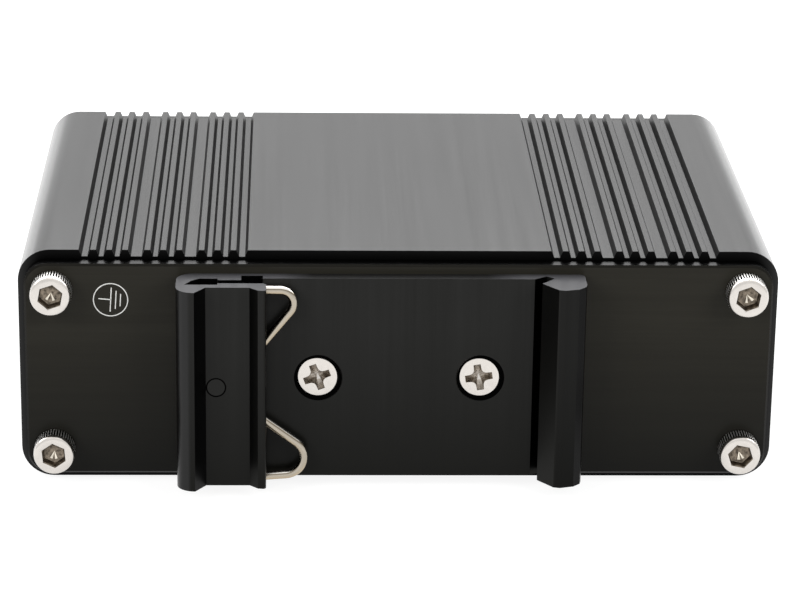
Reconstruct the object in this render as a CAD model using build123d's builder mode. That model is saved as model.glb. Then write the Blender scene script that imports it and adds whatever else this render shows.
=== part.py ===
from build123d import *
import os

# Media converter in a ribbed extruded case, with a rail clip on its rear end plate.
# Millimetres. The origin is the middle of the case's bottom face. X runs along the width,
# Y runs along the extrusion away from the clip, and Z is up.
os.makedirs("parts", exist_ok=True)

# Case extrusion
case_width = 105.6
case_height = 33.6
case_depth = 68.0
case_corner = 4.5
side_wall = 2.0
top_wall = 2.3
bottom_wall = 2.0
inner_corner = 1.5

# Cooling ribs: two bands of three groups of three, each side of a flat land
outer_land = 8.46
rib_edge_gap = 2.0
rib_pitch = 2.2
rib_group_pitch = 7.47
rib_groups = 3
ribs_per_group = 3
rib_top_width = 0.76
rib_flank = 0.41
groove_depth = 0.95

# Screw ports and board rails inside the extrusion
screw_inset_x = 4.8
screw_inset_z = 5.1
port_wall = 1.5
port_slot = 1.4
rail_reach = 2.2
rail_thickness = 1.1
rail_slot_bottom = 9.3

# Main board
board_thickness = 1.6
board_clearance = 0.1
board_end_gap = 0.2

# End plates
plate_thickness = 2.4
plate_side_inset = 0.95
plate_top_inset = 1.3
plate_corner = 3.2
plate_chamfer = 0.3

# M3 socket head screws of the end plates
thread_diameter = 3.0
thread_clearance = 0.05
clearance_hole = 3.4
socket_head_diameter = 5.6
socket_head_height = 3.0
hex_flats = 2.5
hex_depth = 1.4
plate_screw_length = 8.0
shank_flats = 12

# Rail clip, one extrusion with a spring channel on its left and a hook on its right
clip_bottom_gap = 1.9
clip_top_gap = 2.6
clip_base = 2.0
clip_left = -30.75
clip_right = 25.5
clip_back_round = 2.4
channel_depth = 8.1
channel_round = 2.5
boss_end_x = -28.2
panel_depth = 5.85
panel_left_x = -26.7
panel_right_x = -20.7
lip_edge_x = -18.42
lip_depth = 7.2
lip_root_x = -19.55
lip_root_depth = 7.0
lip_chamfer = 0.45
slot_back = 2.7
slot_front = 4.05
pocket_tip = (-29.6, 4.65)
pocket_side = (-28.7, 3.0)
pocket_floor = (-27.6, 2.1)
pocket_right_x = -25.1
mouth_left_x = -21.87
mouth_right_x = -18.9
mouth_back = 0.85
relief_start_x = 18.5
relief_corner = (20.2, 0.8)
hook_root = (21.25, 1.7)
hook_tip = (19.4, 3.85)
hook_front = (21.5, 6.5)
hook_crest = (22.4, 6.75)
hook_shoulder = (24.3, 6.2)
hook_side = (25.3, 5.2)
hook_edge_depth = 4.3
hook_back_round = 0.9

# M3 countersunk screws of the clip
clip_screw_x = 11.25
sink_diameter = 6.7
flat_head_diameter = 5.6
clip_screw_length = 6.0
cross_length = 3.3
cross_width = 0.85
cross_depth = 1.1
cross_taper = 10.0
cross_angles = (20.0, 8.7)

# Wire spring and the pin that holds its middle bend
wire_diameter = 1.2
wire_flats = 8
wire_end_x = -28.25
wire_upper_end_drop = 1.1
wire_upper_nose_x = -12.62
wire_upper_nose_drop = 1.25
wire_upper_nose_radius = 1.9
wire_middle_x = -24.56
wire_middle_drop = 1.44
wire_middle_radius = 3.0
wire_lower_nose_x = -8.48
wire_lower_nose_lift = 1.22
wire_lower_nose_radius = 2.7
wire_lower_end_lift = -0.3
pin_x = -25.3
pin_diameter = 2.65
pin_fit = 0.02
pin_chamfer = 0.12
pin_seat = 0.8

# Shielded jack for the copper cable
jack_fibre_gap = 5.25
jack_width = 16.1
jack_height = 13.6
jack_length = 21.3
jack_proud = 0.5
shell_wall = 0.3
shield_tab_width = 1.6
insert_clearance = 0.05
jack_cavity_width = 11.7
jack_cavity_height = 6.8
jack_cavity_depth = 14.0
jack_latch_width = 6.2
jack_latch_height = 3.0
jack_floor = 1.3
contact_count = 8
contact_pitch = 1.02
contact_width = 0.45
contact_thickness = 0.35
contact_drop = 3.4
contact_reach = 10.5
light_width = 2.8
light_height = 1.8
light_depth = 3.0
light_inset = 0.5

# Duplex fibre transceiver
fibre_side_gap = 12.1
fibre_width = 25.4
fibre_height = 10.4
fibre_proud = 1.5
fibre_length = 38.0
fibre_port_pitch = 12.7
fibre_port_width = 9.4
fibre_port_height = 7.6
fibre_port_depth = 13.0
fibre_key_width = 2.6
fibre_key_height = 0.8
fibre_rear_drop = 1.4
fibre_nose_length = 15.0
fibre_pin_count = 9
fibre_pin_pitch = 2.54
fibre_pin_size = 0.5
sleeve_diameter = 3.6
sleeve_bore = 2.5
sleeve_length = 6.5
sleeve_flats = 16

# Pluggable power terminal
terminal_side_gap = 9.14
terminal_ways = 4
terminal_pitch = 5.08
terminal_end_wall = 1.0
header_height = 8.8
header_depth = 12.0
header_wall = 0.9
plug_fit = 0.15
plug_height = 14.6
plug_body_depth = 9.8
plug_tongue_depth = 8.0
plug_step = 0.3
wire_entry_width = 3.2
wire_entry_height = 3.6
wire_entry_depth = 5.5
wire_entry_z = 4.4
pin_square = 1.0
pin_tail = 3.2
terminal_screw_diameter = 3.4
terminal_screw_length = 3.0
terminal_screw_sink = 0.4
terminal_screw_slot = 0.7
terminal_slot_angle = 30.0

# Status lights, one above another beside the jack
status_count = 3
status_jack_gap = 5.2
status_diameter = 3.0
status_pitch = 4.2
status_lift = 3.1
status_proud = 0.9
status_nose_chamfer = 0.6
holder_width = 4.4
holder_depth = 6.0
holder_chamfer = 2.5

# Clearance round each thing that passes through the front plate
cutout_clearance = 0.25

# Board parts that stay inside
chip_size = 14.0
chip_thickness = 1.4
chip_lift = 0.1
chip_magnetics_gap = 2.7
lead_count = 9
lead_pitch = 1.27
lead_width = 0.45
lead_reach = 1.6
lead_thickness = 0.3
magnetics_jack_gap = 2.9
magnetics_size = (15.8, 10.0, 5.8)
magnetics_chamfer = 0.4
magnetics_lead_count = 8
magnetics_lead_pitch = 1.27
magnetics_lead_height = 0.7
converter_side_gap = 6.8
converter_rear_gap = 10.0
converter_size = (24.0, 16.0, 9.0)
converter_lip = 0.8
converter_recess = 0.4
inductor_converter_gap = 3.0
inductor_size = (12.0, 12.0, 6.5)
inductor_corner = 2.0
capacitor_converter_gap = 2.0
capacitor_count = 2
capacitor_pitch = 10.0
capacitor_diameter = 8.0
capacitor_height = 11.5
capacitor_base = 1.2
capacitor_flats = 16
crystal_chip_gap = 3.8
crystal_size = (11.0, 4.6, 3.4)
crystal_flange = 0.5
crystal_corner = 1.4

# Places that follow from the sizes above
mid_z = case_height / 2
rear_end_y = -case_depth / 2
front_end_y = case_depth / 2
rear_face_y = rear_end_y - plate_thickness
front_face_y = front_end_y + plate_thickness
inner_half_width = case_width / 2 - side_wall
band_width = (
    2 * rib_edge_gap + (rib_groups - 1) * rib_group_pitch + (ribs_per_group - 1) * rib_pitch
)
land_width = case_width - 2 * (outer_land + band_width)
port_bore = thread_diameter
screw_shank = thread_diameter - 2 * thread_clearance
board_bottom_z = rail_slot_bottom + board_clearance
board_top_z = board_bottom_z + board_thickness
rail_slot = board_thickness + 2 * board_clearance
clip_bottom_z = clip_bottom_gap
clip_top_z = case_height - clip_top_gap
clip_height = clip_top_z - clip_bottom_z
clip_centre_z = (clip_bottom_z + clip_top_z) / 2
wire_depth = (slot_back + slot_front) / 2
plate_width = case_width - 2 * plate_side_inset
plate_height = case_height - 2 * plate_top_inset
screw_corners = [
    (x_side * (case_width / 2 - screw_inset_x), z_side * (case_height / 2 - screw_inset_z))
    for x_side in (-1, 1)
    for z_side in (-1, 1)
]


def upright(y):
    """Plane across the extrusion at y, facing the clip side, measured from mid height."""
    return Plane(origin=(0, y, mid_z), x_dir=(1, 0, 0), z_dir=(0, -1, 0))


def on_board(x, y):
    """Plane on top of the board at one part's middle."""
    return Plane(origin=(x, y, board_top_z), x_dir=(1, 0, 0), z_dir=(0, 0, 1))


def band_grooves():
    """Middle and mouth width of each groove of one rib band, from the band's inner edge."""
    edges = [0.0]
    for group in range(rib_groups):
        for rib in range(ribs_per_group):
            centre = rib_edge_gap + group * rib_group_pitch + rib * rib_pitch
            edges += [centre - rib_top_width / 2, centre + rib_top_width / 2]
    edges.append(band_width)
    pairs = zip(edges[0::2], edges[1::2])
    return [((start + end) / 2, end - start) for start, end in pairs]


# Case: one extrusion with ribs, corner screw ports and two pairs of board rails
with BuildPart() as case_extrusion:
    with BuildSketch(upright(front_end_y)) as case_section:
        RectangleRounded(case_width, case_height, case_corner)
        with Locations((0, (bottom_wall - top_wall) / 2)):
            RectangleRounded(
                2 * inner_half_width,
                case_height - top_wall - bottom_wall,
                inner_corner,
                mode=Mode.SUBTRACT,
            )
        # A port fills its corner out to the walls and is slit towards mid height
        port_radius = port_bore / 2 + port_wall
        for x, z in screw_corners:
            x_side = 1 if x > 0 else -1
            z_side = 1 if z > 0 else -1
            with Locations((x, z)):
                Circle(port_radius)
            inner_z = mid_z - (top_wall if z > 0 else bottom_wall)
            with Locations((x_side * (abs(x) - port_radius + inner_half_width) / 2,
                            z_side * (abs(z) + inner_z) / 2)):
                Rectangle(inner_half_width - abs(x) + port_radius, inner_z - abs(z))
        for x, z in screw_corners:
            z_side = 1 if z > 0 else -1
            with Locations((x, z)):
                Circle(port_bore / 2, mode=Mode.SUBTRACT)
            with Locations((x, z - z_side * port_radius)):
                Rectangle(port_slot, 2 * port_radius - port_bore / 2, mode=Mode.SUBTRACT)
        # Rails hold the board in a slot; the upper pair is the same slot turned over
        rail_root = side_wall / 2
        rail_x = inner_half_width + (rail_root - rail_reach) / 2
        for x_side in (-1, 1):
            for z_side in (-1, 1):
                for rail_z in (rail_slot_bottom - rail_thickness / 2,
                               rail_slot_bottom + rail_slot + rail_thickness / 2):
                    with Locations((x_side * rail_x, z_side * (rail_z - mid_z))):
                        Rectangle(rail_reach + rail_root, rail_thickness)
        # Grooves leave the ribs standing level with the lands
        for x_side in (-1, 1):
            for distance, mouth in band_grooves():
                middle = x_side * (land_width / 2 + distance)
                with BuildLine():
                    Polyline(
                        (middle - mouth / 2, mid_z),
                        (middle - mouth / 2 + rib_flank, mid_z - groove_depth),
                        (middle + mouth / 2 - rib_flank, mid_z - groove_depth),
                        (middle + mouth / 2, mid_z),
                        close=True,
                    )
                make_face(mode=Mode.SUBTRACT)
    extrude(amount=case_depth)
case_extrusion.part.label = "case_extrusion"

# Rear end plate, drilled for its corner screws and tapped for the clip
with BuildPart() as rear_end_plate:
    with BuildSketch(upright(rear_end_y)):
        RectangleRounded(plate_width, plate_height, plate_corner)
    extrude(amount=plate_thickness)
    chamfer(rear_end_plate.faces().sort_by(Axis.Y)[0].edges(), plate_chamfer)
    with BuildSketch(upright(rear_end_y)):
        with Locations(*screw_corners):
            Circle(clearance_hole / 2)
        with Locations(
            (-clip_screw_x, clip_centre_z - mid_z), (clip_screw_x, clip_centre_z - mid_z)
        ):
            Circle(thread_diameter / 2)
    extrude(amount=plate_thickness, mode=Mode.SUBTRACT)
rear_end_plate.part.label = "rear_end_plate"

# Front end plate, cut out for each connector and light
header_width = terminal_ways * terminal_pitch + 2 * terminal_end_wall
fibre_x = fibre_side_gap + fibre_width / 2 - case_width / 2
jack_x = fibre_x + (fibre_width + jack_width) / 2 + jack_fibre_gap
status_x = jack_x + (jack_width + holder_width) / 2 + status_jack_gap
terminal_x = case_width / 2 - terminal_side_gap - header_width / 2
status_zs = [board_top_z + status_lift + level * status_pitch for level in range(status_count)]
with BuildPart() as front_end_plate:
    with BuildSketch(upright(front_face_y)):
        RectangleRounded(plate_width, plate_height, plate_corner)
    extrude(amount=plate_thickness)
    chamfer(front_end_plate.faces().sort_by(Axis.Y)[-1].edges(), plate_chamfer)
    with BuildSketch(upright(front_face_y)):
        with Locations(*screw_corners):
            Circle(clearance_hole / 2)
        with Locations((jack_x, board_top_z + jack_height / 2 - mid_z)):
            Rectangle(jack_width + 2 * cutout_clearance, jack_height + 2 * cutout_clearance)
        with Locations((fibre_x, board_top_z + fibre_height / 2 - mid_z)):
            Rectangle(fibre_width + 2 * cutout_clearance, fibre_height + 2 * cutout_clearance)
        with Locations((terminal_x, board_top_z + header_height / 2 - mid_z)):
            Rectangle(header_width + 2 * cutout_clearance, header_height + 2 * cutout_clearance)
        with Locations(*[(status_x, z - mid_z) for z in status_zs]):
            Circle(status_diameter / 2 + cutout_clearance / 2)
    extrude(amount=plate_thickness, mode=Mode.SUBTRACT)
front_end_plate.part.label = "front_end_plate"

# Socket head screws of the rear plate; twelve flats stand for each threaded shank
with BuildPart() as rear_plate_screws:
    with BuildSketch(upright(rear_face_y)):
        with Locations(*screw_corners):
            Circle(socket_head_diameter / 2)
    extrude(amount=socket_head_height)
    with BuildSketch(upright(rear_face_y)):
        with Locations(*screw_corners):
            RegularPolygon(screw_shank / 2, shank_flats)
    extrude(amount=-plate_screw_length)
    with BuildSketch(upright(rear_face_y - socket_head_height)):
        with Locations(*screw_corners):
            RegularPolygon(hex_flats / 2, 6, major_radius=False)
    extrude(amount=-hex_depth, mode=Mode.SUBTRACT)
rear_plate_screws.part.label = "rear_plate_screws"

# Socket head screws of the front plate
with BuildPart() as front_plate_screws:
    with BuildSketch(upright(front_face_y)):
        with Locations(*screw_corners):
            Circle(socket_head_diameter / 2)
    extrude(amount=-socket_head_height)
    with BuildSketch(upright(front_face_y)):
        with Locations(*screw_corners):
            RegularPolygon(screw_shank / 2, shank_flats)
    extrude(amount=plate_screw_length)
    with BuildSketch(upright(front_face_y + socket_head_height)):
        with Locations(*screw_corners):
            RegularPolygon(hex_flats / 2, 6, major_radius=False)
    extrude(amount=hex_depth, mode=Mode.SUBTRACT)
front_plate_screws.part.label = "front_plate_screws"

# Rail clip: its section is drawn looking down, as depth in front of the rear plate
clip_outline = [
    (clip_left, 0),
    (clip_right, 0),
    (clip_right, hook_edge_depth),
    hook_side,
    hook_shoulder,
    hook_crest,
    hook_front,
    hook_tip,
    hook_root,
    relief_corner,
    (relief_start_x, clip_base),
    (mouth_right_x, clip_base),
    (mouth_right_x, mouth_back),
    (mouth_left_x, mouth_back),
    (mouth_left_x, slot_back),
    (pocket_right_x, slot_back),
    (pocket_right_x, pocket_floor[1]),
    pocket_floor,
    pocket_side,
    pocket_tip,
    (pocket_right_x, pocket_tip[1]),
    (pocket_right_x, slot_front),
    (lip_edge_x - lip_chamfer, slot_front),
    (lip_edge_x, slot_front + lip_chamfer),
    (lip_edge_x, lip_depth),
    (lip_root_x, lip_root_depth),
    (panel_right_x, panel_depth),
    (panel_left_x, panel_depth),
    (boss_end_x, channel_depth),
    (clip_left, channel_depth),
]
clip_rounds = [
    ((clip_left, 0), clip_back_round),
    ((clip_left, channel_depth), channel_round),
    ((clip_right, 0), hook_back_round),
    ((lip_edge_x, lip_depth), lip_chamfer),
]
with BuildPart() as din_clip:
    with BuildSketch(Plane.XY.offset(clip_bottom_z)) as clip_section:
        with BuildLine():
            Polyline([(x, rear_face_y - depth) for x, depth in clip_outline], close=True)
        make_face()
        for (x, depth), radius in clip_rounds:
            corner = clip_section.vertices().sort_by_distance((x, rear_face_y - depth))[0]
            fillet(corner, radius)
    extrude(amount=clip_height)
    # Countersunk holes for the clip's own screws
    for x in (-clip_screw_x, clip_screw_x):
        with Locations(
            Plane(origin=(x, rear_face_y - clip_base, clip_centre_z), z_dir=(0, -1, 0))
        ):
            CounterSinkHole(clearance_hole / 2, sink_diameter / 2, depth=clip_base)
    # The pin runs through the front wall and seats in the back wall
    with Locations(Plane(origin=(pin_x, rear_face_y - panel_depth, clip_centre_z), z_dir=(0, -1, 0))):
        Hole(pin_diameter / 2 + pin_fit, depth=panel_depth - pin_seat)
din_clip.part.label = "din_clip"

# Countersunk cross-recess screws that hold the clip to the plate
sink_drop = (sink_diameter - flat_head_diameter) / 2
head_top_y = rear_face_y - clip_base + sink_drop
head_cone = flat_head_diameter / 2 - screw_shank / 2
with BuildPart() as din_clip_screws:
    for x, angle in zip((-clip_screw_x, clip_screw_x), cross_angles):
        with BuildSketch(Plane(origin=(x, 0, clip_centre_z), x_dir=(1, 0, 0), z_dir=(0, 0, 1))):
            with BuildLine():
                Polyline(
                    (0, head_top_y),
                    (flat_head_diameter / 2 - pin_fit, head_top_y),
                    (screw_shank / 2 - pin_fit, head_top_y + head_cone),
                    (screw_shank / 2 - pin_fit, head_top_y + clip_screw_length),
                    (0, head_top_y + clip_screw_length),
                    close=True,
                )
            make_face()
        revolve(axis=Axis((x, 0, clip_centre_z), (0, 1, 0)))
    for x, angle in zip((-clip_screw_x, clip_screw_x), cross_angles):
        with BuildSketch(
            Plane(origin=(x, head_top_y, clip_centre_z), x_dir=(1, 0, 0), z_dir=(0, -1, 0))
        ):
            Rectangle(cross_length, cross_width, rotation=angle)
            Rectangle(cross_length, cross_width, rotation=angle + 90)
        extrude(amount=-cross_depth, mode=Mode.SUBTRACT, taper=cross_taper)
din_clip_screws.part.label = "din_clip_screws"

# Wire spring bent into an M on its side, its two noses pointing at the rail
wire_plane = Plane(origin=(0, rear_face_y - wire_depth, 0), x_dir=(1, 0, 0), z_dir=(0, -1, 0))
with BuildPart() as spring_wire:
    with BuildLine(wire_plane) as wire_path:
        FilletPolyline(
            (wire_end_x, clip_top_z - wire_upper_end_drop),
            (wire_upper_nose_x, clip_top_z - wire_upper_nose_drop),
            (wire_middle_x, clip_centre_z - wire_middle_drop),
            (wire_lower_nose_x, clip_bottom_z + wire_lower_nose_lift),
            (wire_end_x, clip_bottom_z + wire_lower_end_lift),
            radius=[wire_upper_nose_radius, wire_middle_radius, wire_lower_nose_radius],
        )
    # Eight flats stand for the round wire, which keeps its bends light
    with BuildSketch(wire_path.line ^ 0):
        RegularPolygon(wire_diameter / 2, wire_flats)
    sweep()
spring_wire.part.label = "spring_wire"

# Pin pressed through the channel, flush with its front
with BuildPart() as spring_pin:
    with BuildSketch(
        Plane(origin=(pin_x, rear_face_y - panel_depth, clip_centre_z), x_dir=(1, 0, 0), z_dir=(0, -1, 0))
    ):
        Circle(pin_diameter / 2)
    extrude(amount=-(panel_depth - pin_seat))
    chamfer(spring_pin.faces().sort_by(Axis.Y)[0].edges(), pin_chamfer)
spring_pin.part.label = "spring_pin"

# Main board, slid into the lower rails
shield_tab_y = front_face_y + jack_proud - jack_length / 2
shield_tab_xs = (jack_x - (jack_width - shell_wall) / 2, jack_x + (jack_width - shell_wall) / 2)
header_back_y = front_face_y - header_depth
terminal_xs = [
    terminal_x + (way - (terminal_ways - 1) / 2) * terminal_pitch for way in range(terminal_ways)
]
terminal_tail_y = header_back_y - pin_square
fibre_back_y = front_face_y + fibre_proud - fibre_length
fibre_pin_y = fibre_back_y + fibre_pin_pitch
fibre_pin_xs = [
    fibre_x + (pin - (fibre_pin_count - 1) / 2) * fibre_pin_pitch for pin in range(fibre_pin_count)
]
with BuildPart() as main_board:
    with BuildSketch(Plane.XY.offset(board_bottom_z)):
        Rectangle(2 * (inner_half_width - board_end_gap), case_depth - 2 * board_end_gap)
        with Locations(*[(x, shield_tab_y) for x in shield_tab_xs]):
            Rectangle(
                shell_wall + 2 * board_clearance,
                shield_tab_width + 2 * board_clearance,
                mode=Mode.SUBTRACT,
            )
        with Locations(*[(x, terminal_tail_y) for x in terminal_xs]):
            Rectangle(
                pin_square + 2 * board_clearance,
                pin_square + 2 * board_clearance,
                mode=Mode.SUBTRACT,
            )
        with Locations(*[(x, fibre_pin_y) for x in fibre_pin_xs]):
            Rectangle(
                fibre_pin_size + 2 * board_clearance,
                fibre_pin_size + 2 * board_clearance,
                mode=Mode.SUBTRACT,
            )
    extrude(amount=board_thickness)
main_board.part.label = "main_board"

# Jack shield: a thin box open at the front, with two flat tabs through the board
jack_front_y = front_face_y + jack_proud
jack_back_y = jack_front_y - jack_length
with BuildPart() as jack_shield:
    with BuildSketch(on_board(jack_x, (jack_front_y + jack_back_y) / 2)):
        Rectangle(jack_width, jack_length)
    extrude(amount=jack_height)
    offset(
        amount=-shell_wall,
        openings=jack_shield.faces().sort_by(Axis.Y)[-1],
    )
    with BuildSketch(Plane.XY.offset(board_top_z)):
        with Locations(*[(x, shield_tab_y) for x in shield_tab_xs]):
            Rectangle(shell_wall, shield_tab_width)
    extrude(amount=-board_thickness - shell_wall)
jack_shield.part.label = "jack_shield"

# Jack insert: the moulded body with the plug's cavity and its latch channel below
insert_width = jack_width - 2 * shell_wall - 2 * insert_clearance
insert_height = jack_height - 2 * shell_wall - 2 * insert_clearance
insert_bottom_z = board_top_z + shell_wall + insert_clearance
insert_back_y = jack_back_y + shell_wall + insert_clearance
latch_bottom_z = insert_bottom_z + jack_floor
cavity_bottom_z = latch_bottom_z + jack_latch_height
cavity_top_z = cavity_bottom_z + jack_cavity_height
light_z = insert_bottom_z + insert_height - light_inset - light_height / 2
light_xs = (jack_x - insert_width / 2 + light_inset + light_width / 2,
            jack_x + insert_width / 2 - light_inset - light_width / 2)
with BuildPart() as jack_insert:
    with BuildSketch(Plane(origin=(jack_x, jack_front_y, 0), x_dir=(1, 0, 0), z_dir=(0, -1, 0))):
        with Locations((0, insert_bottom_z + insert_height / 2)):
            Rectangle(insert_width, insert_height)
    extrude(amount=jack_front_y - insert_back_y)
    with BuildSketch(Plane(origin=(jack_x, jack_front_y, 0), x_dir=(1, 0, 0), z_dir=(0, -1, 0))):
        with Locations((0, (cavity_bottom_z + cavity_top_z) / 2)):
            Rectangle(jack_cavity_width, jack_cavity_height)
        with Locations((0, (latch_bottom_z + cavity_bottom_z) / 2)):
            Rectangle(jack_latch_width, jack_latch_height + insert_clearance)
    extrude(amount=jack_cavity_depth, mode=Mode.SUBTRACT)
    with BuildSketch(Plane(origin=(0, jack_front_y, 0), x_dir=(1, 0, 0), z_dir=(0, -1, 0))):
        with Locations(*[(x, light_z) for x in light_xs]):
            Rectangle(light_width, light_height)
    extrude(amount=light_depth, mode=Mode.SUBTRACT)
jack_insert.part.label = "jack_insert"

# Jack contacts: eight sprung wires that slope down from the cavity's roof to its back
contact_back_y = jack_front_y - jack_cavity_depth
with BuildPart() as jack_contacts:
    for index in range(contact_count):
        contact_x = jack_x + (index - (contact_count - 1) / 2) * contact_pitch
        with BuildSketch(
            Plane(origin=(contact_x - contact_width / 2, 0, 0), x_dir=(0, 1, 0), z_dir=(1, 0, 0))
        ):
            with BuildLine():
                Polyline(
                    (contact_back_y, cavity_top_z - contact_drop),
                    (contact_back_y + contact_reach, cavity_top_z - contact_thickness),
                    (contact_back_y + contact_reach, cavity_top_z),
                    (contact_back_y, cavity_top_z - contact_drop + contact_thickness),
                    close=True,
                )
            make_face()
        extrude(amount=contact_width)
jack_contacts.part.label = "jack_contacts"

# Jack lights: two clear windows flush with the jack's face
with BuildPart() as jack_lights:
    with BuildSketch(Plane(origin=(0, jack_front_y, 0), x_dir=(1, 0, 0), z_dir=(0, -1, 0))):
        with Locations(*[(x, light_z) for x in light_xs]):
            Rectangle(light_width, light_height)
    extrude(amount=light_depth)
jack_lights.part.label = "jack_lights"

# Fibre transceiver: a low body with a taller nose that holds the two ports
fibre_front_y = front_face_y + fibre_proud
fibre_port_z = board_top_z + fibre_height / 2
fibre_port_xs = (fibre_x - fibre_port_pitch / 2, fibre_x + fibre_port_pitch / 2)
with BuildPart() as fibre_transceiver:
    with BuildSketch(on_board(fibre_x, (fibre_back_y + fibre_front_y) / 2)):
        Rectangle(fibre_width, fibre_length)
    extrude(amount=fibre_height - fibre_rear_drop)
    with BuildSketch(on_board(fibre_x, fibre_front_y - fibre_nose_length / 2)):
        Rectangle(fibre_width, fibre_nose_length)
    extrude(amount=fibre_height)
    with BuildSketch(Plane(origin=(0, fibre_front_y, 0), x_dir=(1, 0, 0), z_dir=(0, -1, 0))):
        with Locations(*[(x, fibre_port_z) for x in fibre_port_xs]):
            Rectangle(fibre_port_width, fibre_port_height)
        with Locations(*[(x, fibre_port_z + fibre_port_height / 2) for x in fibre_port_xs]):
            Rectangle(fibre_key_width, 2 * fibre_key_height)
    extrude(amount=fibre_port_depth, mode=Mode.SUBTRACT)
fibre_transceiver.part.label = "fibre_transceiver"

# Fibre sleeves: the split tubes that line up a plug's ferrule, one in each port
with BuildPart() as fibre_sleeves:
    with BuildSketch(
        Plane(origin=(0, fibre_front_y - fibre_port_depth, 0), x_dir=(1, 0, 0), z_dir=(0, -1, 0))
    ):
        with Locations(*[(x, fibre_port_z) for x in fibre_port_xs]):
            RegularPolygon(sleeve_diameter / 2, sleeve_flats)
            RegularPolygon(sleeve_bore / 2, sleeve_flats, mode=Mode.SUBTRACT)
    extrude(amount=-sleeve_length)
fibre_sleeves.part.label = "fibre_sleeves"

# Fibre pins: one row through the board, under the body's rear end
with BuildPart() as fibre_pins:
    with BuildSketch(Plane.XY.offset(board_top_z)):
        with Locations(*[(x, fibre_pin_y) for x in fibre_pin_xs]):
            Rectangle(fibre_pin_size, fibre_pin_size)
    extrude(amount=-pin_tail)
fibre_pins.part.label = "fibre_pins"

# Terminal header: a shroud soldered to the board, open at the plate
header_middle_z = board_top_z + header_height / 2
with BuildPart() as terminal_header:
    with BuildSketch(on_board(terminal_x, front_face_y - header_depth / 2)):
        Rectangle(header_width, header_depth)
    extrude(amount=header_height)
    offset(
        amount=-header_wall,
        openings=terminal_header.faces().sort_by(Axis.Y)[-1],
    )
    with BuildSketch(Plane(origin=(0, header_back_y, 0), x_dir=(1, 0, 0), z_dir=(0, -1, 0))):
        with Locations(*[(x, header_middle_z) for x in terminal_xs]):
            Rectangle(pin_square + 2 * pin_fit, pin_square + 2 * pin_fit)
    extrude(amount=-header_wall, mode=Mode.SUBTRACT)
terminal_header.part.label = "terminal_header"

# Terminal pins: square pins bent down behind the header and through the board
with BuildPart() as terminal_pins:
    with BuildSketch(Plane(origin=(0, terminal_tail_y, 0), x_dir=(1, 0, 0), z_dir=(0, -1, 0))):
        with Locations(*[(x, header_middle_z) for x in terminal_xs]):
            Rectangle(pin_square, pin_square)
    extrude(amount=-(front_face_y - plug_step - pin_square - terminal_tail_y))
    with BuildSketch(Plane.XY.offset(header_middle_z + pin_square / 2)):
        with Locations(*[(x, terminal_tail_y) for x in terminal_xs]):
            Rectangle(pin_square, pin_square)
    extrude(amount=-(header_middle_z + pin_square / 2 - board_top_z + pin_tail))
terminal_pins.part.label = "terminal_pins"

# Terminal plug: a tongue inside the header and a body in front with a wire entry for each way
plug_width = header_width
plug_back_y = front_face_y + plug_step
plug_front_y = plug_back_y + plug_body_depth
plug_bottom_z = board_top_z
with BuildPart() as terminal_plug:
    with BuildSketch(Plane(origin=(terminal_x, plug_front_y, 0), x_dir=(1, 0, 0), z_dir=(0, -1, 0))):
        with Locations((0, plug_bottom_z + plug_height / 2)):
            Rectangle(plug_width, plug_height)
    extrude(amount=plug_body_depth)
    chamfer(
        terminal_plug.edges().filter_by(Axis.X).group_by(Axis.Y)[-1].sort_by(Axis.Z)[-1],
        2 * terminal_end_wall,
    )
    with BuildSketch(Plane(origin=(terminal_x, plug_back_y, 0), x_dir=(1, 0, 0), z_dir=(0, -1, 0))):
        with Locations((0, header_middle_z)):
            Rectangle(
                header_width - 2 * header_wall - 2 * plug_fit,
                header_height - 2 * header_wall - 2 * plug_fit,
            )
    extrude(amount=plug_tongue_depth)
    with BuildSketch(
        Plane(origin=(0, plug_back_y - plug_tongue_depth, 0), x_dir=(1, 0, 0), z_dir=(0, -1, 0))
    ):
        with Locations(*[(x, header_middle_z) for x in terminal_xs]):
            Rectangle(pin_square + 2 * plug_fit, pin_square + 2 * plug_fit)
    extrude(amount=-plug_tongue_depth, mode=Mode.SUBTRACT)
    with BuildSketch(Plane(origin=(0, plug_front_y, 0), x_dir=(1, 0, 0), z_dir=(0, -1, 0))):
        with Locations(*[(x, plug_bottom_z + wire_entry_z) for x in terminal_xs]):
            Rectangle(wire_entry_width, wire_entry_height)
    extrude(amount=wire_entry_depth, mode=Mode.SUBTRACT)
    plug_screw_y = plug_back_y + terminal_screw_diameter
    with BuildSketch(Plane.XY.offset(plug_bottom_z + plug_height)):
        with Locations(*[(x, plug_screw_y) for x in terminal_xs]):
            Circle(terminal_screw_diameter / 2 + pin_fit)
    extrude(amount=-terminal_screw_length - terminal_screw_sink, mode=Mode.SUBTRACT)
terminal_plug.part.label = "terminal_plug"

# Terminal screws: slotted heads sunk in the plug's top
with BuildPart() as terminal_screws:
    with BuildSketch(Plane.XY.offset(plug_bottom_z + plug_height - terminal_screw_sink)):
        with Locations(*[(x, plug_screw_y) for x in terminal_xs]):
            Circle(terminal_screw_diameter / 2)
    extrude(amount=-terminal_screw_length)
    with BuildSketch(Plane.XY.offset(plug_bottom_z + plug_height - terminal_screw_sink)):
        with Locations(*[(x, plug_screw_y) for x in terminal_xs]):
            Rectangle(terminal_screw_diameter, terminal_screw_slot, rotation=terminal_slot_angle)
    extrude(amount=-terminal_screw_slot, mode=Mode.SUBTRACT)
terminal_screws.part.label = "terminal_screws"

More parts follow.
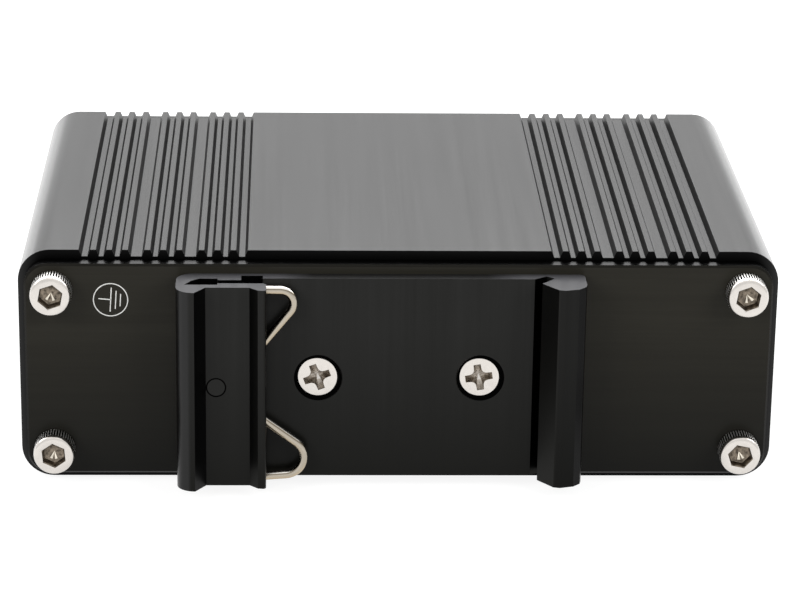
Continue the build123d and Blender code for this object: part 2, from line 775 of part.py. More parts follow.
# Status light holder: one block behind the plate, its upper rear edge cut back
holder_front_y = front_end_y - board_end_gap
holder_top_z = status_zs[-1] + status_lift - board_clearance
with BuildPart() as status_light_holder:
    with BuildSketch(on_board(status_x, holder_front_y - holder_depth / 2)):
        Rectangle(holder_width, holder_depth)
    extrude(amount=holder_top_z - board_top_z)
    chamfer(
        status_light_holder.faces().sort_by(Axis.Y)[0].edges().sort_by(Axis.Z)[-1],
        holder_chamfer,
    )
status_light_holder.part.label = "status_light_holder"

# Status lights: lenses that stand on the holder's face and reach through the plate
with BuildPart() as status_lights:
    with BuildSketch(Plane(origin=(0, holder_front_y, 0), x_dir=(1, 0, 0), z_dir=(0, -1, 0))):
        with Locations(*[(status_x, z) for z in status_zs]):
            Circle(status_diameter / 2)
    extrude(amount=-(front_face_y + status_proud - holder_front_y))
    chamfer(status_lights.faces().group_by(Axis.Y)[-1].edges(), status_nose_chamfer)
status_lights.part.label = "status_lights"

# Magnetics module: the isolating transformers of the copper port, behind the jack
magnetics_y = jack_back_y - magnetics_jack_gap - magnetics_size[1] / 2
with BuildPart() as magnetics_module:
    with BuildSketch(on_board(jack_x, magnetics_y)):
        Rectangle(magnetics_size[0], magnetics_size[1])
    extrude(amount=magnetics_size[2])
    chamfer(magnetics_module.faces().sort_by(Axis.Z)[-1].edges(), magnetics_chamfer)
    with BuildSketch(on_board(jack_x, magnetics_y)):
        with GridLocations(
            magnetics_lead_pitch, magnetics_size[1] + lead_reach, magnetics_lead_count, 2
        ):
            Rectangle(lead_width, lead_reach)
    extrude(amount=magnetics_lead_height)
magnetics_module.part.label = "magnetics_module"

# Controller chip: a flat package with a row of leads on each side
chip_y = magnetics_y - magnetics_size[1] / 2 - chip_magnetics_gap - chip_size / 2 - lead_reach
with BuildPart() as controller_chip:
    with BuildSketch(on_board(jack_x, chip_y).offset(chip_lift)):
        Rectangle(chip_size, chip_size)
    extrude(amount=chip_thickness)
    chamfer(controller_chip.edges().filter_by(Axis.Z), chip_thickness / 2)
    with BuildSketch(on_board(jack_x, chip_y)):
        with PolarLocations((chip_size + lead_reach) / 2, 4):
            with GridLocations(lead_reach, lead_pitch, 1, lead_count):
                Rectangle(lead_reach, lead_width)
    extrude(amount=chip_lift + lead_thickness)
controller_chip.part.label = "controller_chip"

# Clock crystal: a low can with cut corners on its flange, beside the chip
crystal_x = jack_x - chip_size / 2 - lead_reach - crystal_chip_gap - crystal_size[0] / 2
with BuildPart() as clock_crystal:
    with BuildSketch(on_board(crystal_x, chip_y)):
        Rectangle(crystal_size[0], crystal_size[1])
        chamfer(vertices(), crystal_corner)
    extrude(amount=crystal_flange)
    with BuildSketch(on_board(crystal_x, chip_y)):
        Rectangle(crystal_size[0] - 2 * crystal_flange, crystal_size[1] - 2 * crystal_flange)
        chamfer(vertices(), crystal_corner)
    extrude(amount=crystal_size[2])
clock_crystal.part.label = "clock_crystal"

# Isolated converter module: a potted case with a raised rim
converter_x = case_width / 2 - converter_side_gap - converter_size[0] / 2
converter_y = rear_end_y + converter_rear_gap + converter_size[1] / 2
with BuildPart() as converter_module:
    with BuildSketch(on_board(converter_x, converter_y)):
        Rectangle(converter_size[0], converter_size[1])
    extrude(amount=converter_size[2])
    with BuildSketch(on_board(converter_x, converter_y).offset(converter_size[2])):
        Rectangle(converter_size[0] - 2 * converter_lip, converter_size[1] - 2 * converter_lip)
    extrude(amount=-converter_recess, mode=Mode.SUBTRACT)
converter_module.part.label = "converter_module"

# Power inductor: a shielded ferrite block with cut corners
inductor_y = converter_y + (converter_size[1] + inductor_size[1]) / 2 + inductor_converter_gap
with BuildPart() as power_inductor:
    with BuildSketch(on_board(converter_x, inductor_y)):
        Rectangle(inductor_size[0], inductor_size[1])
    extrude(amount=inductor_size[2])
    chamfer(power_inductor.edges().filter_by(Axis.Z), inductor_corner)
power_inductor.part.label = "power_inductor"

# Filter capacitors: two cans, each on a square base with two cut corners
capacitor_x = (
    converter_x - converter_size[0] / 2 - capacitor_converter_gap - capacitor_diameter / 2
)
capacitor_ys = [
    converter_y - converter_size[1] / 2 + capacitor_diameter / 2 + row * capacitor_pitch
    for row in range(capacitor_count)
]
with BuildPart() as filter_capacitors:
    for y in capacitor_ys:
        with BuildSketch(on_board(capacitor_x, y)):
            Rectangle(capacitor_diameter, capacitor_diameter)
            chamfer(vertices().group_by(Axis.X)[-1], capacitor_base)
        extrude(amount=capacitor_base)
        with BuildSketch(on_board(capacitor_x, y)):
            RegularPolygon(capacitor_diameter / 2, capacitor_flats)
        extrude(amount=capacitor_height)
filter_capacitors.part.label = "filter_capacitors"

export_step(case_extrusion.part, "parts/case_extrusion.step")
export_step(rear_end_plate.part, "parts/rear_end_plate.step")
export_step(front_end_plate.part, "parts/front_end_plate.step")
export_step(rear_plate_screws.part, "parts/rear_plate_screws.step")
export_step(front_plate_screws.part, "parts/front_plate_screws.step")
export_step(din_clip.part, "parts/din_clip.step")
export_step(din_clip_screws.part, "parts/din_clip_screws.step")
export_step(spring_wire.part, "parts/spring_wire.step")
export_step(spring_pin.part, "parts/spring_pin.step")
export_step(main_board.part, "parts/main_board.step")
export_step(jack_shield.part, "parts/jack_shield.step")
export_step(jack_insert.part, "parts/jack_insert.step")
export_step(jack_contacts.part, "parts/jack_contacts.step")
export_step(jack_lights.part, "parts/jack_lights.step")
export_step(fibre_transceiver.part, "parts/fibre_transceiver.step")
export_step(fibre_sleeves.part, "parts/fibre_sleeves.step")
export_step(fibre_pins.part, "parts/fibre_pins.step")
export_step(terminal_header.part, "parts/terminal_header.step")
export_step(terminal_pins.part, "parts/terminal_pins.step")
export_step(terminal_plug.part, "parts/terminal_plug.step")
export_step(terminal_screws.part, "parts/terminal_screws.step")
export_step(status_light_holder.part, "parts/status_light_holder.step")
export_step(status_lights.part, "parts/status_lights.step")
export_step(controller_chip.part, "parts/controller_chip.step")
export_step(magnetics_module.part, "parts/magnetics_module.step")
export_step(converter_module.part, "parts/converter_module.step")
export_step(power_inductor.part, "parts/power_inductor.step")
export_step(filter_capacitors.part, "parts/filter_capacitors.step")
export_step(clock_crystal.part, "parts/clock_crystal.step")
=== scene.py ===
import math

import bmesh
import bpy
from mathutils import Matrix, Vector


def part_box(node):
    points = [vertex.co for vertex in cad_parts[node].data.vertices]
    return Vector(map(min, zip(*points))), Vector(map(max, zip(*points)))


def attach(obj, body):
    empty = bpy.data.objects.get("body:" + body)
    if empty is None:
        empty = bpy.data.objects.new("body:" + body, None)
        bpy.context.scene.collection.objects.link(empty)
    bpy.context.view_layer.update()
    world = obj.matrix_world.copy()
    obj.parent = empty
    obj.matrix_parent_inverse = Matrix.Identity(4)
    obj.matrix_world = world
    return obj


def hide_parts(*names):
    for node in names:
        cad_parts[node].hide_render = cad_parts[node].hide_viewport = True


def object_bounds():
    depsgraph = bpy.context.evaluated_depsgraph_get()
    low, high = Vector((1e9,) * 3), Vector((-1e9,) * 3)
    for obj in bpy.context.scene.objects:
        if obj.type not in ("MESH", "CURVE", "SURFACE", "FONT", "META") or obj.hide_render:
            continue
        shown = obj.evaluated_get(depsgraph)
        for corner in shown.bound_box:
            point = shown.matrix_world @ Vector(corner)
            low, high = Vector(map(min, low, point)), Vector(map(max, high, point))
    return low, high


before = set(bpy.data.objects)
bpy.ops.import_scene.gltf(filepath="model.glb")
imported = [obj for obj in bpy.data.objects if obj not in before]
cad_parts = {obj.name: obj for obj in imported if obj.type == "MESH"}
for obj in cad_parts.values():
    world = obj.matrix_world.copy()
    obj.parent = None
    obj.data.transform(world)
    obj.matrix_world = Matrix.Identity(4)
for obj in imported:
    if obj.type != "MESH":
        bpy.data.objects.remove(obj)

cad_lo, cad_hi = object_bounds()
MM = 0.001
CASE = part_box("case_extrusion")
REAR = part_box("rear_end_plate")
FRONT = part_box("front_end_plate")
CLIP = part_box("din_clip")
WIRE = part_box("spring_wire")
CLIP_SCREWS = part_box("din_clip_screws")
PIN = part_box("spring_pin")
HALF_W = CASE[1].x
MID_Z = (CASE[0].z + CASE[1].z) / 2
REAR_FACE = REAR[0].y
FRONT_FACE = FRONT[1].y
SCREW_X = HALF_W - 4.8 * MM
SCREW_DZ = 11.7 * MM


# Camera, fitted to the photograph
yaw, pitch, roll = -0.0354676, -0.3406491, -0.0145753
turn = Matrix.Rotation(yaw, 3, "Z") @ Matrix.Rotation(pitch, 3, "X") @ Matrix.Rotation(roll, 3, "Y")
cam_data = bpy.data.cameras.new("camera")
cam_data.lens = 146.047
cam_data.sensor_width = 36.0
cam_data.clip_start = 0.05
cam_data.clip_end = 20.0
camera = bpy.data.objects.new("camera", cam_data)
right, ahead, up = (turn.col[i] for i in range(3))
basis = Matrix((right, up, -ahead)).transposed().to_4x4()
camera.matrix_world = Matrix.Translation((-0.014973, -0.459052, 0.177125)) @ basis
bpy.context.scene.collection.objects.link(camera)
bpy.context.scene.camera = camera
bpy.context.scene.view_settings.view_transform = "Standard"


# Materials
def shader(name):
    m = bpy.data.materials.new(name)
    m.use_nodes = True
    tree = m.node_tree
    return m, tree, tree.nodes["Principled BSDF"]


def setup(p, color, rough, metallic=0.0, ior=1.5, **more):
    p.inputs["Base Color"].default_value = (*color, 1.0)
    p.inputs["Roughness"].default_value = rough
    p.inputs["Metallic"].default_value = metallic
    p.inputs["IOR"].default_value = ior
    for k, v in more.items():
        p.inputs[k.replace("_", " ")].default_value = v


def mapped(tree, scale):
    """Object coordinates stretched by scale."""
    co = tree.nodes.new("ShaderNodeTexCoord")
    mp = tree.nodes.new("ShaderNodeMapping")
    mp.inputs["Scale"].default_value = scale
    tree.links.new(co.outputs["Object"], mp.inputs["Vector"])
    return mp.outputs["Vector"]


def noise(tree, vector, scale, detail=4.0, rough=0.55):
    n = tree.nodes.new("ShaderNodeTexNoise")
    n.inputs["Scale"].default_value = scale
    n.inputs["Detail"].default_value = detail
    n.inputs["Roughness"].default_value = rough
    tree.links.new(vector, n.inputs["Vector"])
    return n.outputs["Fac"]


def spread(tree, value, lo, hi, lo_in=0.3, hi_in=0.7):
    r = tree.nodes.new("ShaderNodeMapRange")
    r.inputs["From Min"].default_value = lo_in
    r.inputs["From Max"].default_value = hi_in
    r.inputs["To Min"].default_value = lo
    r.inputs["To Max"].default_value = hi
    tree.links.new(value, r.inputs["Value"])
    return r.outputs["Result"]


def ramp(tree, value, stops):
    r = tree.nodes.new("ShaderNodeValToRGB")
    while len(r.color_ramp.elements) < len(stops):
        r.color_ramp.elements.new(0.5)
    for e, (at, c) in zip(r.color_ramp.elements, stops):
        e.position = at
        e.color = (*c, 1.0)
    tree.links.new(value, r.inputs["Fac"])
    return r.outputs["Color"]


def bump(tree, p, value, strength, distance):
    b = tree.nodes.new("ShaderNodeBump")
    b.inputs["Strength"].default_value = strength
    b.inputs["Distance"].default_value = distance
    tree.links.new(value, b.inputs["Height"])
    tree.links.new(b.outputs["Normal"], p.inputs["Normal"])


def math_node(tree, operation, first, second=0.0):
    n = tree.nodes.new("ShaderNodeMath")
    n.operation = operation
    for socket, value in zip(n.inputs, (first, second)):
        if isinstance(value, (int, float)):
            socket.default_value = value
        else:
            tree.links.new(value, socket)
    return n.outputs[0]


def parts_of(tree, vector):
    """Size of each component of a vector."""
    n = tree.nodes.new("ShaderNodeSeparateXYZ")
    tree.links.new(vector, n.inputs[0])
    return [math_node(tree, "ABSOLUTE", n.outputs[axis]) for axis in "XYZ"]


def facing(tree):
    """How far a face looks along X, Y and Z of the object."""
    return parts_of(tree, tree.nodes.new("ShaderNodeNewGeometry").outputs["Normal"])


def placed(tree):
    """Distance of a point from the frame's planes."""
    return parts_of(tree, tree.nodes.new("ShaderNodeTexCoord").outputs["Object"])


def higher(tree, first, second):
    return math_node(tree, "MAXIMUM", first, second)


def blend(tree, mask, first, second):
    """Colour that goes from first to second as mask goes from 0 to 1."""
    n = tree.nodes.new("ShaderNodeMix")
    n.data_type = "RGBA"
    tree.links.new(mask, n.inputs["Factor"])
    for socket, value in ((n.inputs[6], first), (n.inputs[7], second)):
        if isinstance(value, tuple):
            socket.default_value = (*value, 1.0)
        else:
            tree.links.new(value, socket)
    return n.outputs[2]


def anodised(name, dark, light, rough, ior, scale, edges, edge_rough, lines=0.05):
    """Black anodised aluminium with drawing lines one way.

    The function edges gives the colour with its painted shade and painted reflections, where it is duller, and where
    it mirrors only at a glance.
    Without the last one it does so all over.
    """
    m, t, p = shader(name)
    setup(p, dark, rough, 1.0, ior)
    long_lines = noise(t, mapped(t, scale), 1.0, 6.0, 0.7)
    fine = noise(t, mapped(t, (1, 1, 1)), 2600.0, 2.0, 0.6)
    colour = ramp(t, long_lines, ((0.3, dark), (0.72, light)))
    colour, dull_mask, metal_mask = edges(t, colour)
    t.links.new(colour, p.inputs["Base Color"])
    if metal_mask:
        t.links.new(metal_mask, p.inputs["Metallic"])
    plain = spread(t, long_lines, rough - 0.015, rough + 0.02)
    rise = math_node(t, "MULTIPLY", dull_mask, edge_rough - rough)
    t.links.new(math_node(t, "ADD", plain, rise), p.inputs["Roughness"])
    bump(t, p, math_node(t, "ADD", long_lines, fine), lines, 0.00002)
    return m


def case_painted_shade(tree, colour):
    """Painted shade: the rib flanks, but for those near the sides, and the cut end faces of the case are the darkest.
    """
    nx, ny, _ = facing(tree)
    x, _, _ = placed(tree)
    flank = spread(tree, nx, 0.0, 1.0, 0.25, 0.5)
    inboard = spread(tree, x, 1.0, 0.0, HALF_W - 8.2 * MM, HALF_W - 7.8 * MM)
    # Where the painted shade goes: inner rib flanks and the end faces
    dark = higher(tree, math_node(tree, "MULTIPLY", flank, inboard), spread(tree, ny, 0.0, 1.0, 0.5, 0.8))
    # Colour of the painted shade, lighter within 3 mm of the sides
    outer = spread(tree, x, 0.0, 1.0, HALF_W - 3.0 * MM, HALF_W)
    edge = blend(tree, outer, (0.007, 0.007, 0.007), (0.03, 0.03, 0.03))
    return blend(tree, dark, colour, edge), dark, None


def painted_ground_shade(tree, colour):
    """Painted shade: upright faces darken towards the ground."""
    height = spread(tree, placed(tree)[2], 0.0, 1.0, 1.0 * MM, 24.0 * MM)
    return blend(tree, height, (0.006, 0.006, 0.005), colour)


def clip_cut_ends_and_painted_light(tree, colour):
    """Cut end faces of the clip are dull grey, darker near the middle by painted shade that fades out between 12 and
    17 mm; slants get painted shade, but for the round left side, which gets a painted reflection; front faces darken
    towards the ground by painted shade.
    """
    nx, ny, nz = facing(tree)
    x, _, _ = placed(tree)
    # Painted shade on the slants, darker beyond 21.8 mm from the middle
    inner = blend(tree, spread(tree, x, 0.0, 1.0, 21.6 * MM, 21.8 * MM), (0.015, 0.015, 0.014), (0.006, 0.006, 0.006))
    # Painted reflection on the round left side, beyond 28.2 mm
    side = blend(tree, spread(tree, x, 0.0, 1.0, 28.2 * MM, 28.3 * MM), inner, (0.03, 0.03, 0.03))
    # The cut ends' own dull grey, with painted shade nearer the middle
    cut_grey_and_shade = blend(tree, spread(tree, x, 0.0, 1.0, 12.0 * MM, 17.0 * MM), (0.012, 0.012, 0.012), (0.054, 0.054, 0.058))
    edge = blend(tree, spread(tree, nz, 0.0, 1.0, 0.5, 0.8), side, cut_grey_and_shade)
    mask = spread(tree, ny, 1.0, 0.0, 0.93, 0.985)
    slant = math_node(tree, "MULTIPLY", mask, spread(tree, nz, 1.0, 0.0, 0.5, 0.8))
    return blend(tree, mask, painted_ground_shade(tree, colour), edge), mask, slant


def plate_edges_and_painted_shade(tree, colour):
    """Cut edges of the plates, which mirror at a glance but for those near the ground; front faces get painted shade
    towards the ground.
    """
    mask = spread(tree, facing(tree)[1], 1.0, 0.0, 0.55, 0.95)
    glance = math_node(tree, "MULTIPLY", mask, spread(tree, placed(tree)[2], 0.0, 1.0, 1.5 * MM, 4.0 * MM))
    return blend(tree, mask, painted_ground_shade(tree, colour), (0.003, 0.003, 0.003)), mask, glance


def metal(name, color, rough, grain=900.0, strength=0.06, vary=0.08, stretch=(1, 1, 1)):
    m, t, p = shader(name)
    setup(p, color, rough, metallic=1.0)
    n = noise(t, mapped(t, stretch), grain, 4.0, 0.6)
    dim = tuple(c * (1 - vary) for c in color)
    t.links.new(ramp(t, n, ((0.35, dim), (0.65, color))), p.inputs["Base Color"])
    t.links.new(spread(t, n, rough - 0.05, rough + 0.07), p.inputs["Roughness"])
    bump(t, p, n, strength, 0.00002)
    return m


def wire_painted_reflections():
    """Bright spring steel with painted reflections by facing: a painted dark line below a painted upper highlight,
    and painted shade underneath.
    """
    m, t, p = shader("spring_steel")
    setup(p, (0.6, 0.54, 0.45), 0.2, metallic=1.0)
    n = t.nodes.new("ShaderNodeSeparateXYZ")
    t.links.new(t.nodes.new("ShaderNodeNewGeometry").outputs["Normal"], n.inputs[0])
    height = spread(t, n.outputs["Z"], 0.0, 1.0, -1.0, 1.0)
    # Painted colour bands by how far a face looks up: shade below, a dark reflected line, a highlight above it
    painted_reflection_bands = ((0.0, (0.2, 0.15, 0.1)), (0.25, (0.5, 0.41, 0.29)), (0.5, (0.43, 0.385, 0.315)),
              (0.66, (0.45, 0.405, 0.34)), (0.72, (0.16, 0.13, 0.09)), (0.78, (0.3, 0.26, 0.2)),
              (0.83, (0.82, 0.79, 0.74)), (1.0, (0.6, 0.56, 0.5)))
    t.links.new(ramp(t, height, painted_reflection_bands), p.inputs["Base Color"])
    fine = noise(t, mapped(t, (1, 1, 1)), 500.0)
    t.links.new(spread(t, fine, 0.16, 0.26), p.inputs["Roughness"])
    bump(t, p, fine, 0.06, 0.00002)
    return m


def plastic(name, color, rough, ior=1.46, grain=1800.0, strength=0.08, vary=0.12, **more):
    m, t, p = shader(name)
    setup(p, color, rough, ior=ior, **more)
    n = noise(t, mapped(t, (1, 1, 1)), grain, 3.0, 0.6)
    dim = tuple(c * (1 - vary) for c in color)
    t.links.new(ramp(t, n, ((0.35, dim), (0.65, color))), p.inputs["Base Color"])
    t.links.new(spread(t, n, rough - 0.04, rough + 0.06), p.inputs["Roughness"])
    bump(t, p, n, strength, 0.00002)
    return m


case_black = anodised("case_black", (0.042, 0.042, 0.042), (0.055, 0.055, 0.055), 0.2, 1.42, (900, 12, 900),
                      case_painted_shade, 0.45)
plate_black = anodised("plate_black", (0.018, 0.0165, 0.0125), (0.026, 0.0245, 0.019), 0.3, 1.2, (14, 14, 700),
                       plate_edges_and_painted_shade, 0.25)
clip_black = anodised("clip_black", (0.014, 0.014, 0.013), (0.02, 0.02, 0.019), 0.3, 1.2, (800, 800, 12),
                      clip_cut_ends_and_painted_light, 0.3)
# Black for painted shade, on skins and faces set where shade falls
painted_shade_black = plastic("painted_shade_black", (0.001, 0.001, 0.001), 0.8, ior=1.05)
bright = metal("bright_screw", (0.68, 0.645, 0.605), 0.2)
# Knurl crests: the screw steel painted lighter as highlight
knurl_highlight = metal("knurl_painted_highlight", (0.9, 0.885, 0.86), 0.42, strength=0.2)
# Hexagon socket walls: a darker brown copy of the screw steel, painted shade
recess = metal("screw_recess", (0.3, 0.25, 0.195), 0.32, 2100.0, 0.9, 0.8)
# Bright faces on the socket floors: painted glints
painted_glint = metal("painted_socket_glint", (0.92, 0.85, 0.72), 0.16, 1100.0, 0.4, 0.3)
# Cross recess walls: a darker copy of the screw steel, painted shade
cross_recess = metal("cross_recess", (0.58, 0.525, 0.46), 0.3, 1500.0, 0.4, 0.5)
wire_steel = wire_painted_reflections()
pin_dark = metal("dark_pin", (0.023, 0.023, 0.022), 0.45)
tinned = metal("tinned_steel", (0.72, 0.72, 0.72), 0.3)
gold = metal("gold_contact", (0.83, 0.6, 0.24), 0.25)
can = metal("capacitor_can", (0.75, 0.75, 0.76), 0.28)
board = plastic("board_green", (0.012, 0.12, 0.045), 0.35)
black_plastic = plastic("connector_black", (0.012, 0.012, 0.013), 0.42)
green_plastic = plastic("terminal_green", (0.03, 0.26, 0.09), 0.34)
chip_plastic = plastic("chip_black", (0.018, 0.018, 0.018), 0.5)
potted = plastic("converter_black", (0.02, 0.02, 0.023), 0.45)
ferrite = plastic("ferrite_grey", (0.09, 0.09, 0.09), 0.6)
ceramic = plastic("white_ceramic", (0.8, 0.79, 0.75), 0.2)
lens = plastic("clear_light", (0.5, 0.66, 0.42), 0.12, strength=0.02, Transmission_Weight=0.35)
print_white = plastic("printed_white", (0.95, 0.95, 0.92), 0.5, vary=0.15)

dress = {
    "case_extrusion": case_black, "rear_end_plate": plate_black, "front_end_plate": plate_black,
    "rear_plate_screws": bright, "front_plate_screws": bright, "din_clip": clip_black,
    "din_clip_screws": bright, "spring_wire": wire_steel, "spring_pin": pin_dark,
    "main_board": board, "jack_shield": tinned, "jack_insert": black_plastic,
    "jack_contacts": gold, "jack_lights": lens, "fibre_transceiver": black_plastic,
    "fibre_sleeves": ceramic, "fibre_pins": tinned, "terminal_header": green_plastic,
    "terminal_pins": tinned, "terminal_plug": green_plastic, "terminal_screws": bright,
    "status_light_holder": black_plastic, "status_lights": lens, "controller_chip": chip_plastic,
    "magnetics_module": chip_plastic, "converter_module": potted, "power_inductor": ferrite,
    "filter_capacitors": can, "clock_crystal": tinned,
}
for node, material in dress.items():
    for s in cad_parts[node].material_slots:
        s.material = material


# Pieces modelled in mesh code
def join_rings(bm, rings, indices=()):
    """Faces between neighbouring rings of points; a ring of one point closes an end."""
    rows = [[bm.verts.new(point) for point in ring] for ring in rings]
    skin_rows(bm, rows, indices)
    return rows


def skin_rows(bm, rows, indices=()):
    """The faces of band i get the materials indices[i] in turn, or the first material."""
    for band, (a, b) in enumerate(zip(rows, rows[1:])):
        cycle = indices[band] if band < len(indices) else (0,)
        count = max(len(a), len(b))
        for i in range(count):
            corners = [a[i % len(a)], a[(i + 1) % len(a)], b[(i + 1) % len(b)], b[i % len(b)]]
            face = bm.faces.new(list(dict.fromkeys(corners)))
            face.material_index = cycle[i % len(cycle)]


def piece(name, bm, materials, replaces=None, sharp=32.0):
    """A mesh object that rides on the root, smooth apart from its sharp edges."""
    bmesh.ops.recalc_face_normals(bm, faces=bm.faces)
    for face in bm.faces:
        face.smooth = True
    for edge in bm.edges:
        if edge.calc_face_angle(0.0) > math.radians(sharp):
            edge.smooth = False
    mesh = bpy.data.meshes.new(name)
    bm.to_mesh(mesh)
    bm.free()
    for material in materials:
        mesh.materials.append(material)
    o = bpy.data.objects.new(name, mesh)
    bpy.context.scene.collection.objects.link(o)
    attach(o, "root")
    if replaces:
        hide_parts(replaces)
    return o


KNURLS = 48
STEPS = (0.0, 0.44, 0.58, 0.86)
KNURL_ANGLES = [2 * math.pi * (i + step) / KNURLS for i in range(KNURLS) for step in STEPS]


def circle(radius, angles):
    return [(radius * math.cos(a), radius * math.sin(a)) for a in angles]


def knurl(angles):
    """Head outline with flat ridges and narrower grooves."""
    radii = (2.86, 2.86, 2.66, 2.66)
    return [(radii[i % 4] * math.cos(a), radii[i % 4] * math.sin(a)) for i, a in enumerate(angles)]


def hexagon(apothem, angles, turned):
    points = []
    for a in angles:
        off_flat = (a - turned) % (math.pi / 3) - math.pi / 6
        radius = apothem / math.cos(off_flat)
        points.append((radius * math.cos(a), radius * math.sin(a)))
    return points


def socket_screws(name, face_y, outward, turns, painted_glints):
    """Knurled socket head screws, one at each corner of an end plate."""
    angles = KNURL_ANGLES
    bm = bmesh.new()
    corners = [(sx, sz) for sx in (-1, 1) for sz in (-1, 1)]
    for (sx, sz), turn, rays in zip(corners, turns, painted_glints):
        def ring(outline, height):
            return [(sx * SCREW_X + x * MM, face_y + outward * height * MM, MID_Z + sz * SCREW_DZ + z * MM)
                    for x, z in outline]
        turned = math.radians(turn)
        # Knurl crests take the painted highlight, their flanks and grooves the painted shade black
        rows = join_rings(bm, [
            ring([(0, 0)], -8.0), ring(circle(1.2, angles), -8.0), ring(circle(1.45, angles), -7.7),
            ring(circle(1.45, angles), 0.0), ring(circle(2.66, angles), 0.0), ring(knurl(angles), 0.14),
            ring(knurl(angles), 2.05), ring(circle(2.84, angles), 2.2), ring(circle(2.82, angles), 2.5),
            ring(circle(2.75, angles), 2.75), ring(circle(2.63, angles), 2.92), ring(circle(2.46, angles), 3.0),
            ring(circle(1.86, angles), 3.0), ring(hexagon(1.58, angles, turned), 2.97),
        ], ((0,), (0,), (0,), (0,), (0,), (2, 3, 3, 3), (2, 3, 3, 3)))
        inner = [rows[-1]]
        for outline, height in ((hexagon(1.45, angles, turned), 2.8), (hexagon(1.4, angles, turned), 1.5),
                                (circle(1.1, angles), 1.35), ([(0, 0)], 1.0)):
            inner.append([bm.verts.new(point) for point in ring(outline, height)])
        # Socket walls take the painted shade; floor faces within 10 degrees of the listed angles take painted glints
        painted_glint_faces = tuple(4 if any(abs(math.degrees(a) - at) < 10.0 for at in rays) else 1 for a in angles)
        skin_rows(bm, inner, ((1,), (1,), (1,), painted_glint_faces))
    return piece(name, bm, (bright, recess, knurl_highlight, painted_shade_black, painted_glint), name)


def cross_outline(length, width, hub, turned):
    """Outline of a cross recess whose arms flare into a round hub, by angle."""
    half = width / 2
    corner = math.atan2(half, length)
    eighth = [corner * i / 3 for i in range(3)]
    eighth += [corner + (math.pi / 4 - corner) * i / 7 for i in range(7)]
    points = []
    for arm in range(4):
        for a in [-a for a in reversed(eighth[1:])] + eighth + [math.pi / 4]:
            side = half / math.sin(abs(a)) if a else length
            flare = (side ** 5 + hub ** 5) ** 0.2
            radius = length / math.cos(a) if abs(a) < corner else min(flare, length / math.cos(corner))
            whole = a + arm * math.pi / 2 + turned
            points.append((radius * math.cos(whole), radius * math.sin(whole)))
    return points


def cross_screws():
    """Countersunk cross-recess screws of the clip."""
    bm = bmesh.new()
    face_y = CLIP_SCREWS[0].y
    centre_z = (CLIP_SCREWS[0].z + CLIP_SCREWS[1].z) / 2 - 0.1 * MM
    reach = (CLIP_SCREWS[1].y - face_y) / MM
    for side, turn in ((-1, 20.0), (1, 8.7)):
        turned = math.radians(turn)
        mouth = cross_outline(1.9, 1.0, 1.0, turned)
        angles = [math.atan2(z, x) for x, z in mouth]
        x0 = side * (CLIP_SCREWS[1].x - 2.78 * MM) - 0.15 * MM

        def ring(outline, depth):
            return [(x0 + x * MM, face_y + depth * MM, centre_z + z * MM) for x, z in outline]
        rows = join_rings(bm, [
            ring([(0, 0)], reach), ring(circle(1.2, angles), reach), ring(circle(1.43, angles), reach - 0.3),
            ring(circle(1.43, angles), 1.42), ring(circle(2.8, angles), 0.2),
            ring(circle(2.83, angles), 0.1), ring(circle(2.78, angles), 0.02), ring(circle(2.68, angles), 0.0),
            ring(mouth, 0.0),
        ])
        inner = [rows[-1]]
        for outline, depth in ((cross_outline(1.82, 0.92, 0.94, turned), 0.1),
                               (cross_outline(1.45, 0.75, 0.66, turned), 0.8),
                               (cross_outline(0.8, 0.55, 0.42, turned), 1.3), ([(0, 0)], 1.7)):
            inner.append([bm.verts.new(point) for point in ring(outline, depth)])
        # Recess walls take the painted shade; the bottom keeps the screw's bright steel
        skin_rows(bm, inner, ((1,), (1,), (1,), (2,)))
    return piece("din_clip_screws", bm, (bright, cross_recess, bright), "din_clip_screws")


def rounded_path(corners, radii, step=math.radians(6)):
    """Points along straight runs joined by arcs."""
    points = [Vector(corners[0])]
    for before, at, after, radius in zip(corners, corners[1:], corners[2:], radii):
        at = Vector(at)
        back = (Vector(before) - at).normalized()
        ahead = (Vector(after) - at).normalized()
        half = back.angle(ahead) / 2
        centre = at + (back + ahead).normalized() * radius / math.sin(half)
        start = at + back * radius / math.tan(half)
        turn = math.pi - 2 * half
        spokes = start - centre
        sense = 1 if back.x * ahead.y - back.y * ahead.x < 0 else -1
        count = max(2, round(turn / step))
        for i in range(count + 1):
            points.append(centre + Matrix.Rotation(sense * turn * i / count, 2) @ spokes)
    points.append(Vector(corners[-1]))
    return points


def spring():
    """The wire spring as a smooth tube along its bent path."""
    radius = 0.6
    y = (WIRE[0].y + WIRE[1].y) / 2
    top, bottom = CLIP[1].z / MM, CLIP[0].z / MM
    middle = (top + bottom) / 2
    path = rounded_path(
        ((-28.25, top - 1.1), (-12.62, top - 1.25), (-24.56, middle - 1.44), (-8.48, bottom + 1.22),
         (-28.25, bottom - 0.3)), (1.9, 3.0, 2.7))
    bm = bmesh.new()
    sides = 24
    rings = []
    for i, at in enumerate(path):
        along = (path[min(i + 1, len(path) - 1)] - path[max(i - 1, 0)]).normalized()
        across = Vector((-along.y, along.x))
        ring = []
        for k in range(sides):
            a = 2 * math.pi * k / sides
            flat = at + across * radius * math.cos(a)
            ring.append((flat.x * MM, y + radius * math.sin(a) * MM, flat.y * MM))
        rings.append(ring)
    first, last = path[0], path[-1]
    rings.insert(0, [(first.x * MM, y, first.y * MM)])
    rings.append([(last.x * MM, y, last.y * MM)])
    join_rings(bm, rings)
    return piece("spring_wire", bm, (wire_steel,), "spring_wire", 60.0)


